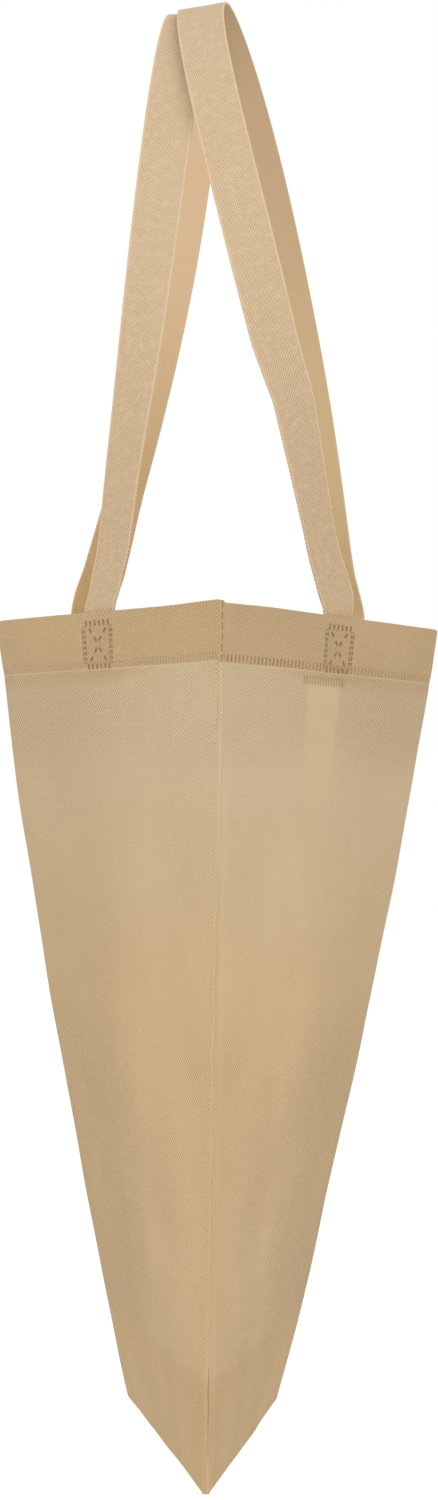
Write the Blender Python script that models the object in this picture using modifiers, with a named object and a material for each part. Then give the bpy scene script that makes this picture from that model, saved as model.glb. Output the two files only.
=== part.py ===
"""Non-woven tote bag, hanging open from its two webbing handles.

The cloth panels, the folded bottom gusset, the hems, the side seams and the webbing are
separate solids. Lengths are in metres and +Z is up. The origin is the point that a hook
bears on, under the crown of the front handle.
"""
import math
from dataclasses import dataclass
from functools import lru_cache

import bmesh
import bpy
from mathutils import Vector

# Cloth
CLOTH = 0.0005
CLEARANCE = 0.0003

# Bag body, measured along the cloth
BAG_WIDTH = 0.380
BAG_HEIGHT = 0.410
HEM_HEIGHT = 0.029
GUSSET_HALF_DEPTH = 0.050

# How far the hanging bag stands open
BASE_HALF_DEPTH = 0.0393
MOUTH_HALF_DEPTH = 0.1194
SIDE_BULGE = 0.0046
CENTRE_BEND_RADIUS = 0.025
MOUTH_BEND_OFFSET = 0.015

# Side seams, turned to the inside
SEAM_WIDTH = 0.006
SEAM_THICKNESS = 0.0010
GUSSET_SEAM_THICKNESS = 0.0018
SEAM_STEP_HEIGHT = 0.012
SEAM_PROUD = 0.0006
SEAM_NOSE = 0.0005
SEAM_NOSE_SHARE = 0.4

# Bottom gusset
GUSSET_FOLD_RADIUS = 0.0012
GUSSET_END_INSET = 0.013

# Webbing and its welded ends
STRAP_WIDTH = 0.025
STRAP_THICKNESS = 0.0012
LEG_OFFSET = 0.088
LEG_INSERT = 0.027
FLEX_LENGTH = 0.035
PIVOT_HEIGHT = 0.006

# How the two loops hang, with the back one over the front one
CROWN_GAP = 0.0065
BACK_RISE = 0.3298
FRONT_RISE = BACK_RISE - STRAP_THICKNESS - CROWN_GAP
BACK_CROWN_Y = -0.0124
FRONT_CROWN_Y = -0.0185
BACK_BOW = 0.0145
FRONT_BOW = 0.020
BACK_TWIST_HEIGHT = 0.213
FRONT_TWIST_HEIGHT = 0.290

# Tape welded inside the back panel, under the hem
TAB_WIDTH = 0.030
TAB_LENGTH = 0.076
TAB_OFFSET = 0.0995
TAB_DROP = 0.003

# Facet counts
STRAIGHT_STEPS = 6
BEND_STEPS = 8
WALL_STEPS = 14
HEM_STEPS = 3
FOLD_STEPS = 4
CROWN_STEPS = 26
FLEX_STEPS = 6
SOLVER_STEPS = 48
TANGENT_SHARE = 0.01


@dataclass(frozen=True)
class Handle:
    """One webbing handle: which panel carries it, and how its loop hangs."""

    name: str
    face: int
    rise: float
    crown_y: float
    bow: float
    twist_height: float
    squareness: float
    tilt_share: float
    skew_share: float


BACK_HANDLE = Handle("back_handle", 1, BACK_RISE, BACK_CROWN_Y, BACK_BOW, BACK_TWIST_HEIGHT,
                     squareness=3.7, tilt_share=0.195, skew_share=0.261)
FRONT_HANDLE = Handle("front_handle", -1, FRONT_RISE, FRONT_CROWN_Y, FRONT_BOW, FRONT_TWIST_HEIGHT,
                      squareness=2.7, tilt_share=0.091, skew_share=0.182)
HANDLES = (FRONT_HANDLE, BACK_HANDLE)

# The hook bears on the underside of the front handle's crown
ORIGIN = Vector((0.0, FRONT_HANDLE.crown_y, BAG_HEIGHT + FRONT_HANDLE.rise - STRAP_THICKNESS / 2))

SIDES = {"right": 1, "left": -1}
CLOTH_COLOUR = (0.56, 0.42, 0.26, 1.0)
HEM_COLOUR = (0.50, 0.37, 0.20, 1.0)
STRAP_COLOUR = (0.63, 0.50, 0.32, 1.0)
TAPE_COLOUR = (0.60, 0.44, 0.25, 1.0)


def smooth(share):
    """Return an eased value from 0 to 1."""
    share = min(max(share, 0.0), 1.0)
    return share * share * (3 - 2 * share)


def solve_angle(measure, target):
    """Return the angle from 0 to 90 degrees at which a monotone measure meets its target."""
    low, high = 0.0, math.pi / 2
    rising = measure(high) > measure(low)
    for _ in range(SOLVER_STEPS):
        middle = (low + high) / 2
        if (measure(middle) < target) == rising:
            low = middle
        else:
            high = middle
    return (low + high) / 2


def half_depth(height):
    """Return how far the panels' widest line stands from the middle plane."""
    share = height / BAG_HEIGHT
    straight = BASE_HALF_DEPTH + (MOUTH_HALF_DEPTH - BASE_HALF_DEPTH) * share
    return straight + 4 * SIDE_BULGE * share * (1 - share)


def seam_half(height):
    """Return half the thickness of the side seam, which also holds the gusset lower down."""
    upper = smooth((height - GUSSET_HALF_DEPTH) / SEAM_STEP_HEIGHT)
    return (GUSSET_SEAM_THICKNESS + (SEAM_THICKNESS - GUSSET_SEAM_THICKNESS) * upper) / 2


def bend_offset(height):
    """Return how far the bend line lies to the left of the panel's centre line."""
    return MOUTH_BEND_OFFSET * height / BAG_HEIGHT


def side_length(height, side):
    """Return the cloth's length from the bend line to the side seam."""
    return BAG_WIDTH / 2 + side * bend_offset(height)


@lru_cache(maxsize=None)
def panel_angle(height, side):
    """Return the angle at which one side of a panel runs from the bend line to its seam."""
    length = side_length(height, side)
    seam_y = seam_half(height) + CLEARANCE + CLOTH

    def depth(angle):
        bend = CENTRE_BEND_RADIUS * (1 - math.cos(angle))
        return bend + (length - CENTRE_BEND_RADIUS * angle) * math.sin(angle)

    return solve_angle(depth, half_depth(height) - seam_y)


def seam_reach(height, side):
    """Return how far a side seam stands from the bend line, seen from the front."""
    angle = panel_angle(height, side)
    straight = side_length(height, side) - CENTRE_BEND_RADIUS * angle
    return CENTRE_BEND_RADIUS * math.sin(angle) + straight * math.cos(angle)


def panel_point(along, height, inward, face):
    """Return a point of a panel.

    Along is measured over the cloth from the panel's centre line, inward from its outer
    surface, and face is 1 for the back panel and -1 for the front one.
    """
    distance = along + bend_offset(height)
    side = 1 if distance >= 0 else -1
    angle = panel_angle(height, side)
    turn = min(abs(distance) / CENTRE_BEND_RADIUS, angle)
    straight = abs(distance) - CENTRE_BEND_RADIUS * turn
    reach = (CENTRE_BEND_RADIUS - inward) * math.sin(turn) + straight * math.cos(angle)
    depth = (CENTRE_BEND_RADIUS - inward) * math.cos(turn) - straight * math.sin(angle)
    centre = half_depth(height) - CENTRE_BEND_RADIUS
    middle = (seam_reach(height, -1) - seam_reach(height, 1)) / 2
    return Vector((middle + side * reach, face * (centre + depth), height)) - ORIGIN


def panel_columns(height, inset):
    """Return places along a panel, from the left seam to the right one, close round the bend."""
    centre = -bend_offset(height)
    starts = {side: CENTRE_BEND_RADIUS * panel_angle(height, side) for side in (-1, 1)}
    ends = {side: side_length(height, side) - inset for side in (-1, 1)}
    columns = []
    for step in range(STRAIGHT_STEPS + 1):
        share = step / STRAIGHT_STEPS
        columns.append(centre - ends[-1] + (ends[-1] - starts[-1]) * share)
    for step in range(1, BEND_STEPS):
        share = step / BEND_STEPS
        columns.append(centre - starts[-1] + (starts[-1] + starts[1]) * share)
    for step in range(STRAIGHT_STEPS + 1):
        share = step / STRAIGHT_STEPS
        columns.append(centre + starts[1] + (ends[1] - starts[1]) * share)
    return columns


def make_material(name, colour, roughness):
    """Return a plain cloth material."""
    material = bpy.data.materials.new(name)
    material.use_nodes = True
    shader = material.node_tree.nodes["Principled BSDF"]
    shader.inputs["Base Color"].default_value = colour
    shader.inputs["Roughness"].default_value = roughness
    shader.inputs["Metallic"].default_value = 0.0
    return material


def add_object(name, mesh, colour, roughness, pivot):
    """Put a mesh into the bag's collection, with its origin moved to the pivot."""
    for vertex in mesh.vertices:
        vertex.co -= pivot
    mesh.materials.append(make_material(name, colour, roughness))
    part = bpy.data.objects.new(name, mesh)
    part.location = pivot
    COLLECTION.objects.link(part)
    return part


def sheet(name, rows, thickness, offset, colour, roughness=0.85, pivot=Vector()):
    """Skin rows of points with faces and give the cloth its thickness."""
    points = [point for row in rows for point in row]
    width = len(rows[0])
    faces = []
    for row in range(len(rows) - 1):
        for column in range(width - 1):
            corner = row * width + column
            faces.append((corner, corner + 1, corner + width + 1, corner + width))
    mesh = bpy.data.meshes.new(name)
    mesh.from_pydata(points, [], faces)
    mesh.update()
    part = add_object(name, mesh, colour, roughness, pivot)
    shell = part.modifiers.new("thickness", "SOLIDIFY")
    shell.thickness = thickness
    shell.offset = offset
    shell.use_even_offset = True
    return part


def loft(name, rings, colour, roughness=0.85):
    """Join closed rings of points into a solid and cap both ends."""
    count = len(rings[0])
    work = bmesh.new()
    rows = [[work.verts.new(point) for point in ring] for ring in rings]
    for lower, upper in zip(rows, rows[1:]):
        for corner in range(count):
            following = (corner + 1) % count
            work.faces.new((lower[corner], lower[following], upper[following], upper[corner]))
    work.faces.new(list(reversed(rows[0])))
    work.faces.new(rows[-1])
    bmesh.ops.recalc_face_normals(work, faces=work.faces)
    mesh = bpy.data.meshes.new(name)
    work.to_mesh(mesh)
    work.free()
    return add_object(name, mesh, colour, roughness, Vector())


def facing_outward(rows, face):
    """Return rows ordered so that the skin faces away from the inside of the bag."""
    return rows if face < 0 else [list(reversed(row)) for row in rows]


def hem_heights():
    """Return the levels that the panel and its hem share, from the hem's edge up to its roll."""
    low = BAG_HEIGHT - HEM_HEIGHT
    high = BAG_HEIGHT - CLOTH / 2 - (CLOTH + CLEARANCE)
    return [low + (high - low) * step / HEM_STEPS for step in range(HEM_STEPS + 1)]


def make_panel(name, face):
    """Model one wall of the bag, from the bottom fold to just under the hem's roll."""
    levels = hem_heights()
    heights = [levels[0] * step / WALL_STEPS for step in range(WALL_STEPS)] + levels
    rows = []
    for height in heights + [BAG_HEIGHT - CLOTH - CLEARANCE]:
        columns = panel_columns(height, 0.0)
        rows.append([panel_point(along, height, 0.0, face) for along in columns])
    return sheet(name, facing_outward(rows, face), CLOTH, -1.0, CLOTH_COLOUR)


def make_hem(name, face):
    """Model the turned-in hem, which rolls over the panel's top edge and runs down inside."""
    inward = CLOTH + CLEARANCE + CLOTH / 2
    roll = inward - CLOTH / 2
    profile = [(inward, height) for height in hem_heights()]
    centre = profile[-1][1]
    for step in range(1, FOLD_STEPS + 1):
        angle = math.pi / 2 * step / FOLD_STEPS
        profile.append((inward - roll * (1 - math.cos(angle)), centre + roll * math.sin(angle)))
    profile.append((0.0, centre + roll))
    angle = panel_angle(BAG_HEIGHT, 1)
    inset = ((inward + CLOTH / 2) * math.cos(angle) - CLOTH) / math.sin(angle) + CLEARANCE
    rows = []
    for depth, height in profile:
        columns = panel_columns(height, inset)
        rows.append([panel_point(along, height, depth, face) for along in columns])
    return sheet(name, facing_outward(rows, face), CLOTH, 0.0, HEM_COLOUR)


def make_side_seam(name, side):
    """Model the welded edges of both panels, which stand inwards from the corner."""
    rings = []
    for step in range(WALL_STEPS * 2 + 1):
        height = BAG_HEIGHT * step / (WALL_STEPS * 2)
        end = side * side_length(height, side) - bend_offset(height)
        corner = abs(panel_point(end, height, 0.0, 1).x)
        half = seam_half(height)
        outline = [(corner + SEAM_PROUD, half * SEAM_NOSE_SHARE), (corner - SEAM_NOSE, half),
                   (corner - SEAM_WIDTH, half)]
        section = outline + [(reach, -offset) for reach, offset in reversed(outline)]
        rings.append([Vector((side * reach, offset, height)) - ORIGIN for reach, offset in section])
    return loft(name, rings, HEM_COLOUR)


def make_gusset():
    """Model the bottom: one fold of cloth between the panels, open in the middle of the bag."""
    base = CLOTH
    inward = CLOTH + CLEARANCE + CLOTH / 2
    rows = []
    for along in panel_columns(base, GUSSET_END_INSET):
        front = panel_point(along, base, inward, -1)
        back = panel_point(along, base, inward, 1)
        middle = (front + back) / 2
        reach = (back - front).length / 2

        def span(angle):
            bend = GUSSET_FOLD_RADIUS * math.sin(angle)
            return bend + (GUSSET_HALF_DEPTH - GUSSET_FOLD_RADIUS * angle) * math.cos(angle)

        angle = solve_angle(span, reach)
        leg = GUSSET_HALF_DEPTH - GUSSET_FOLD_RADIUS * angle
        centre = leg * math.sin(angle) - GUSSET_FOLD_RADIUS * math.cos(angle)
        row = [front]
        for step in range(-FOLD_STEPS, FOLD_STEPS + 1):
            turn = angle * step / FOLD_STEPS
            across = GUSSET_FOLD_RADIUS * math.sin(turn)
            up = centre + GUSSET_FOLD_RADIUS * math.cos(turn)
            row.append(middle + Vector((0.0, across, up)))
        row.append(back)
        rows.append(row)
    return sheet("bottom_gusset", rows, CLOTH, 0.0, CLOTH_COLOUR)


def strap_inward():
    """Return the depth of the webbing's middle inside the panel and the hem."""
    return 2 * (CLOTH + CLEARANCE) + STRAP_THICKNESS / 2


def strap_foot(handle, side):
    """Return where the middle of a handle's leg crosses the rim."""
    return panel_point(side * LEG_OFFSET, BAG_HEIGHT, strap_inward(), handle.face)


def loop_place(handle, side, height):
    """Return a height's place along the loop, from 1 at the right foot to -1 at the left one."""
    return side * (1 - 2 / math.pi * math.asin(height / handle.rise))


def strap_centre(handle, place):
    """Return the middle of the webbing at a place along the loop."""
    side = 1 if place > 0 else -1
    share = math.cos(math.pi / 2 * min(abs(place), 1.0))
    height = handle.rise * share
    feet = {each: strap_foot(handle, each) for each in (-1, 1)}
    spread = (feet[1].x - feet[-1].x) / 2
    middle = (feet[1].x + feet[-1].x) / 2
    out = side * spread * math.sqrt(max(0.0, 1 - share ** handle.squareness))
    crown = handle.crown_y - ORIGIN.y
    y = feet[side].y * (1 - share) + crown * share + handle.bow * share * (1 - share)
    y -= handle.skew_share * share * out
    if height < FLEX_LENGTH:
        below = panel_point(side * LEG_OFFSET, BAG_HEIGHT - HEM_HEIGHT, strap_inward(), handle.face)
        wall_slope = (feet[side].y - below.y) / HEM_HEIGHT
        leg_slope = (crown - feet[side].y + handle.bow) / handle.rise
        y += (wall_slope - leg_slope) * height * (1 - height / FLEX_LENGTH) ** 2
    return Vector((middle * (1 - share) + out, y, feet[side].z + height))


def strap_row(handle, place):
    """Return the webbing's two edges at one place, square to its run."""
    side = 1 if place > 0 else -1
    before = strap_centre(handle, min(place + TANGENT_SHARE, 1.0))
    after = strap_centre(handle, max(place - TANGENT_SHARE, -1.0))
    tangent = (after - before).normalized()
    feet = [panel_point(side * LEG_OFFSET + each * STRAP_WIDTH / 2, BAG_HEIGHT, strap_inward(),
                        handle.face) for each in (-1, 1)]
    foot = (feet[1] - feet[0]).normalized()
    if foot.y < 0:
        foot = -foot
    share = math.cos(math.pi / 2 * abs(place))
    crown = Vector((0.0, 1.0, handle.tilt_share * share))
    crown = (crown - tangent * crown.dot(tangent)).normalized()
    edge = foot.lerp(crown, smooth(handle.rise * share / handle.twist_height))
    edge = edge.normalized() * STRAP_WIDTH / 2
    centre = strap_centre(handle, place)
    return [centre - edge, centre + edge]


def handle_pivot(handle):
    """Return the middle of the line that a handle hinges on, just above the rim."""
    middle = (strap_foot(handle, -1) + strap_foot(handle, 1)) / 2
    return middle + Vector((0.0, 0.0, PIVOT_HEIGHT))


def make_strap_end(handle, label, side):
    """Model the end of the webbing that is welded flat inside the hem."""
    rows = []
    for height in (-LEG_INSERT, -LEG_INSERT / 2, -CLEARANCE):
        places = [side * LEG_OFFSET + edge * STRAP_WIDTH / 2 for edge in (-1, 1)]
        rows.append([panel_point(along, BAG_HEIGHT + height, strap_inward(), handle.face)
                     for along in places])
    name = f"{handle.name}_{label}_end"
    return sheet(name, rows, STRAP_THICKNESS, 0.0, STRAP_COLOUR)


def make_strap_bend(handle, label, side):
    """Model the stretch of webbing that flexes when the handle is laid over."""
    rows = []
    for step in range(FLEX_STEPS + 1):
        height = FLEX_LENGTH * step / FLEX_STEPS
        rows.append(strap_row(handle, loop_place(handle, side, height)))
    name = f"{handle.name}_{label}_bend"
    return sheet(name, rows, STRAP_THICKNESS, 0.0, STRAP_COLOUR, pivot=handle_pivot(handle))


def make_handle(handle):
    """Model the loop of webbing from leg to leg, over its crown."""
    foot = loop_place(handle, 1, FLEX_LENGTH + CLEARANCE)
    rows = []
    for step in range(2 * CROWN_STEPS):
        share = 1 - 2 * step / (2 * CROWN_STEPS - 1)
        rows.append(strap_row(handle, foot * share))
    return sheet(handle.name, rows, STRAP_THICKNESS, 0.0, STRAP_COLOUR, pivot=handle_pivot(handle))


def make_tab():
    """Model the short tape that is welded inside the back panel under the hem."""
    inward = CLOTH + CLEARANCE + CLOTH / 2
    top = BAG_HEIGHT - HEM_HEIGHT - TAB_DROP
    rows = []
    for step in range(STRAIGHT_STEPS + 1):
        height = top - TAB_LENGTH * step / STRAIGHT_STEPS
        places = [TAB_OFFSET + edge * TAB_WIDTH / 2 for edge in (-1, 1)]
        rows.append([panel_point(along, height, inward, 1) for along in places])
    return sheet("inner_tab", rows, CLOTH, 0.0, TAPE_COLOUR)


def make_bag():
    """Build every piece of the bag."""
    for name, face in (("front", -1), ("back", 1)):
        make_panel(f"{name}_panel", face)
        make_hem(f"{name}_hem", face)
    for label, side in SIDES.items():
        make_side_seam(f"{label}_side_seam", side)
    make_gusset()
    make_tab()
    for handle in HANDLES:
        make_handle(handle)
        for label, side in SIDES.items():
            make_strap_end(handle, label, side)
            make_strap_bend(handle, label, side)


for leftover in list(bpy.data.objects):
    bpy.data.objects.remove(leftover, do_unlink=True)
COLLECTION = bpy.data.collections.new("non_woven_tote_bag")
bpy.context.scene.collection.children.link(COLLECTION)
make_bag()
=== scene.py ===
"""Dress the hanging non-woven tote bag.

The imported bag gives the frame. Its cloth walls, gusset, side seams, inner tape and webbing
are modelled here as sheets in the form that the hanging bag takes, and get their cloth,
their weld marks and their weave.
"""

import logging
import math
from dataclasses import dataclass
from enum import Enum
from functools import partialmethod
from typing import Callable, Sequence

import bpy
import numpy as np
from mathutils import Matrix, Vector


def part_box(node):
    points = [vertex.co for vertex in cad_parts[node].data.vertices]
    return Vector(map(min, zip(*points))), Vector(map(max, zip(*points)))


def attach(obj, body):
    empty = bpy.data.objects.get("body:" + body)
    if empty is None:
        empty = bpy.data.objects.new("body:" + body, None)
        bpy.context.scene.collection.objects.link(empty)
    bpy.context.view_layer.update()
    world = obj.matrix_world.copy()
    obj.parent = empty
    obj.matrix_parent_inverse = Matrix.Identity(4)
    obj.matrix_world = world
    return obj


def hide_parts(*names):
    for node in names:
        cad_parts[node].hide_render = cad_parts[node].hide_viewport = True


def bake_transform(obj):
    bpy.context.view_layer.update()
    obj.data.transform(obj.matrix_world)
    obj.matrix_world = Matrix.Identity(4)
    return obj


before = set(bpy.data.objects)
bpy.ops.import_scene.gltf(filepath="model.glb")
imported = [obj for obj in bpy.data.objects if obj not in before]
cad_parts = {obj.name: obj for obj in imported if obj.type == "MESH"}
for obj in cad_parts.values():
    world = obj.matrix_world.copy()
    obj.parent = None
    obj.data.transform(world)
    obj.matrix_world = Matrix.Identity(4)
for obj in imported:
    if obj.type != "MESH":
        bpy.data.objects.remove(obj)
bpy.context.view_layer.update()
HALVINGS = 40
log = logging.getLogger("tote_bag")

Array = np.ndarray
Piece = bpy.types.Object
Material = bpy.types.Material
Tree = bpy.types.NodeTree
Socket = bpy.types.NodeSocket
Colour = tuple[float, float, float]
Place = tuple[float, float, float]
Limits = tuple[float, float]
Inputs = dict[int | str, "Wire | Socket | Colour | float"]


class Face(Enum):
    """The two walls of the bag, by the side of the middle plane that they stand on."""

    FRONT = -1
    BACK = 1


class Side(Enum):
    """The two side seams, by the side of the centre line that they stand on."""

    RIGHT = 1
    LEFT = -1


def linear(*display: float) -> Colour:
    """Return the linear values, from 0 to 1, of display values of red, green and blue up to 255."""
    shares = (value / 255 for value in display)
    return tuple(share / 12.92 if share <= 0.04045 else ((share + 0.055) / 1.055) ** 2.4
                 for share in shares)


def smooth(share: Array) -> Array:
    """Return eased values from 0 to 1."""
    share = np.clip(share, 0.0, 1.0)
    return share * share * (3 - 2 * share)


def part_way(first: Array, second: Array, share: Array) -> Array:
    """Return values between two: the first at a share of 0, and the second at 1."""
    return first * (1 - share) + second * share


def unit(vectors: Array) -> Array:
    """Return vectors, one a row, brought to length one."""
    return vectors / np.linalg.norm(vectors, axis=-1, keepdims=True)


def lengths_along(points: Array) -> Array:
    """Return the length of a run of points, one a row, up to each of them."""
    steps = np.linalg.norm(np.diff(points, axis=0), axis=1)
    return np.concatenate([[0.0], np.cumsum(steps)])


def columns_at(table: Array, share: Array) -> list[Array]:
    """Return a table's columns at shares of the way from its first row to its last."""
    rows = np.linspace(0.0, 1.0, len(table))
    return [np.interp(share, rows, column) for column in table.T]


def bent_run(radius: float, length: Array, angle: Array) -> tuple[Array, Array]:
    """Measure a run of cloth that turns through an angle and then goes on straight.

    Args:
        radius: the radius that it turns with.
        length: its length.
        angle: the angle in radians.

    Returns:
        How far it goes on in its first direction, and how far to the side.
    """
    straight = length - radius * angle
    return (radius * np.sin(angle) + straight * np.cos(angle),
            radius * (1 - np.cos(angle)) + straight * np.sin(angle))


def solve_angle(measure: Callable[[Array], Array], target: Array) -> Array:
    """Return the angles from 0 to 90 degrees at which a monotone measure meets its target.

    Args:
        measure: gives a length for an array of angles.
        target: the lengths to meet.

    Returns:
        An array of angles in radians.
    """
    low = np.zeros_like(target)
    high = np.full_like(target, math.pi / 2)
    rising = measure(high) > measure(low)
    for _ in range(HALVINGS):
        middle = (low + high) / 2
        below = (measure(middle) < target) == rising
        low = np.where(below, middle, low)
        high = np.where(below, high, middle)
    return (low + high) / 2


@dataclass(frozen=True)
class HangingForm:
    """The shape that the cloth body takes when the bag hangs open from its handles."""

    width: float = 0.380
    height: float = 0.410
    hem: float = 0.029
    base_half_depth: float = 0.0393
    mouth_half_depth: float = 0.1194
    side_bulge: float = 0.0046
    bend_radius: float = 0.025
    mouth_bend_offset: float = 0.015
    cloth: float = 0.0005
    clearance: float = 0.0003
    seam_thickness: float = 0.0010
    gusset_seam_thickness: float = 0.0018
    gusset_half_depth: float = 0.050
    seam_step_height: float = 0.012
    rim_step: float = 0.0007
    rim_step_length: float = 0.045
    rim_step_height: float = 0.08
    long_ripple: float = 0.00055
    slant_ripple: float = 0.00022
    short_ripple: float = 0.00012
    ripple_margin: float = 0.05
    leg_offset: float = 0.088
    tape_offset: float = 0.0995
    tape_width: float = 0.030
    origin: Place = (0.0, -0.0185, 0.7315)

    def half_depth(self, height: Array) -> Array:
        """Return how far the walls' widest line stands from the middle plane."""
        share = np.clip(height / self.height, 0.0, 1.0)
        return (part_way(self.base_half_depth, self.mouth_half_depth, share)
                + 4 * self.side_bulge * share * (1 - share))

    def seam_half(self, height: Array) -> Array:
        """Return half the thickness of the side seam, which holds the gusset lower down."""
        upper = smooth((height - self.gusset_half_depth) / self.seam_step_height)
        return part_way(self.gusset_seam_thickness, self.seam_thickness, upper) / 2

    def lining_depth(self) -> float:
        """Return the depth of the middle of a second cloth that lies inside a wall."""
        return self.cloth + self.clearance + self.cloth / 2

    def bend_offset(self, height: Array) -> Array:
        """Return how far the bend line lies to the left of a wall's centre line."""
        return self.mouth_bend_offset * height / self.height

    def run(self, height: Array, side: Array) -> tuple[Array, Array]:
        """Measure a wall's run from its bend line to a seam.

        Args:
            height: heights above the base.
            side: 1 for the right seam and -1 for the left one, as an array.

        Returns:
            The angle in radians that it runs at, and how far it reaches sideways.
        """
        length = self.width / 2 + side * self.bend_offset(height)
        depth = self.half_depth(height) - self.seam_half(height) - self.clearance - self.cloth
        angle = solve_angle(lambda turn: bent_run(self.bend_radius, length, turn)[1], depth)
        return angle, bent_run(self.bend_radius, length, angle)[0]

    def ripple(self, along: Array, height: Array, face: Face) -> Array:
        """Return how far the soft cloth stands out from its smooth form.

        Args:
            along: places along the cloth from the wall's centre line.
            height: heights above the base.
            face: the wall.

        Returns:
            An array of lengths, outwards where they are positive.
        """
        # The whole numbers are radians for each metre along the cloth and up it.
        turn = 1.7 * face.value
        long_wave = np.sin(along * 31 + height * 13 + turn) * np.cos(height * 17 - turn)
        slant = np.sin(along * 52 - height * 41 + 2 * turn) + np.sin(along * 23 + height * 59 - turn)
        short = np.sin(along * 118 + height * 37 + 3 * turn) * np.sin(height * 96 + along * 21)
        free = smooth((self.width / 2 - np.abs(along)) / self.ripple_margin)
        return free * (self.long_ripple * long_wave + self.slant_ripple * slant
                       + self.short_ripple * short)

    def place(self, along: Array, height: Array, inward: Array, face: Face) -> Array:
        """Return points of a wall. Single numbers stand for all points alike.

        Args:
            along: places along the cloth from the wall's centre line, positive to the right.
            height: heights above the base.
            inward: depths below the wall's outer surface.
            face: the wall.

        Returns:
            One point a row, in the shared frame.
        """
        along, height, inward = np.broadcast_arrays(along, height, inward)
        inward = inward - self.ripple(along, height, face)
        distance = along + self.bend_offset(height)
        side = np.where(distance >= 0, 1.0, -1.0)
        angle = self.run(height, side)[0]
        turn = np.minimum(np.abs(distance) / self.bend_radius, angle)
        straight = np.abs(distance) - self.bend_radius * turn
        reach = (self.bend_radius - inward) * np.sin(turn) + straight * np.cos(angle)
        depth = (self.bend_radius - inward) * np.cos(turn) - straight * np.sin(angle)
        centre = self.half_depth(height) - self.bend_radius
        ones = np.ones_like(height)
        middle = (self.run(height, -ones)[1] - self.run(height, ones)[1]) / 2
        rim = smooth((height - self.height) / self.rim_step_height + 1)
        corner = smooth((np.abs(along) - self.width / 2) / self.rim_step_length + 1)
        lift = -face.value * self.rim_step * rim * corner
        points = np.stack([middle + side * reach, face.value * (centre + depth), height + lift],
                          axis=-1)
        return points - np.array(self.origin)


FORM = HangingForm()


def fill(node: bpy.types.Node, inputs: Inputs) -> None:
    """Set some of a node's inputs.

    Args:
        node: the node.
        inputs: for each input, a wire or a socket to link to it, or its own value.
    """
    for key, value in inputs.items():
        socket = node.inputs[key]
        source = value.socket if isinstance(value, Wire) else value
        if isinstance(source, Socket):
            node.id_data.links.new(source, socket)
        else:
            socket.default_value = (*source, 1.0) if socket.type == "RGBA" else source


def add_node(tree: Tree, kind: str, inputs: Inputs | None = None, **settings: str) -> bpy.types.Node:
    """Add a node to a shader tree.

    Args:
        tree: the tree.
        kind: the node's type, less the word ShaderNode.
        inputs: its inputs, as for fill.
        settings: its own settings, by name.

    Returns:
        The node.
    """
    node = tree.nodes.new(f"ShaderNode{kind}")
    for name, value in settings.items():
        setattr(node, name, value)
    fill(node, inputs or {})
    return node


class Wire:
    """A value in a shader tree that sums and products can be made with.

    Its opposite is one less the value, and most gives the larger of two values.
    """

    def __init__(self, socket: Socket) -> None:
        """Hold the socket that gives the value, and its tree."""
        self.socket = socket
        self.tree = socket.id_data

    def maths(self, operation: str, *others: "Wire | float") -> "Wire":
        """Return the result of a Math node with this operation and these further values."""
        node = add_node(self.tree, "Math", dict(enumerate((self, *others))), operation=operation)
        return Wire(node.outputs[0])

    __add__ = partialmethod(maths, "ADD")
    __sub__ = partialmethod(maths, "SUBTRACT")
    __mul__ = partialmethod(maths, "MULTIPLY")
    __truediv__ = partialmethod(maths, "DIVIDE")
    __abs__ = partialmethod(maths, "ABSOLUTE")
    opposite = partialmethod(maths, "MULTIPLY_ADD", -1.0, 1.0)
    most = partialmethod(maths, "MAXIMUM")

    def wave(self, period: float) -> "Wire":
        """Return a cosine with this period."""
        return (self * (2 * math.pi / period)).maths("COSINE")

    def between(self, low: float, high: float) -> "Wire":
        """Return an eased value from 0 to 1.

        Args:
            low: where it is 0.
            high: where it is 1. It can be the smaller number.

        Returns:
            The eased value as a new wire.
        """
        ends = (low, high, 0.0, 1.0) if low < high else (high, low, 1.0, 0.0)
        limits = dict(zip(("From Min", "From Max", "To Min", "To Max"), ends))
        node = add_node(self.tree, "MapRange", {"Value": self, **limits},
                        interpolation_type="SMOOTHSTEP")
        return Wire(node.outputs["Result"])

    def patches(self, contrast: float, level: float) -> "Wire":
        """Return a noise as a patchy mask from 0 to 1, with this contrast about this level."""
        return (self * contrast + level).between(0.0, 1.0)

    def band(self, half: float, soft: float) -> "Wire":
        """Return 1 where the value is nearer to 0 than half, and 0 outside a soft edge."""
        return abs(self).between(half + soft, half - soft)

    def dashes(self, period: float, share: float, soft: float) -> "Wire":
        """Return 1 on dashes that repeat along the value.

        Args:
            period: the distance from one dash to the next.
            share: how much of the period a dash takes up.
            soft: the softness of its ends, as a share of the period.

        Returns:
            The mask as a new wire.
        """
        place = (self / period).maths("FRACT") - 0.5
        return place.band(share / 2, soft)


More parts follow.
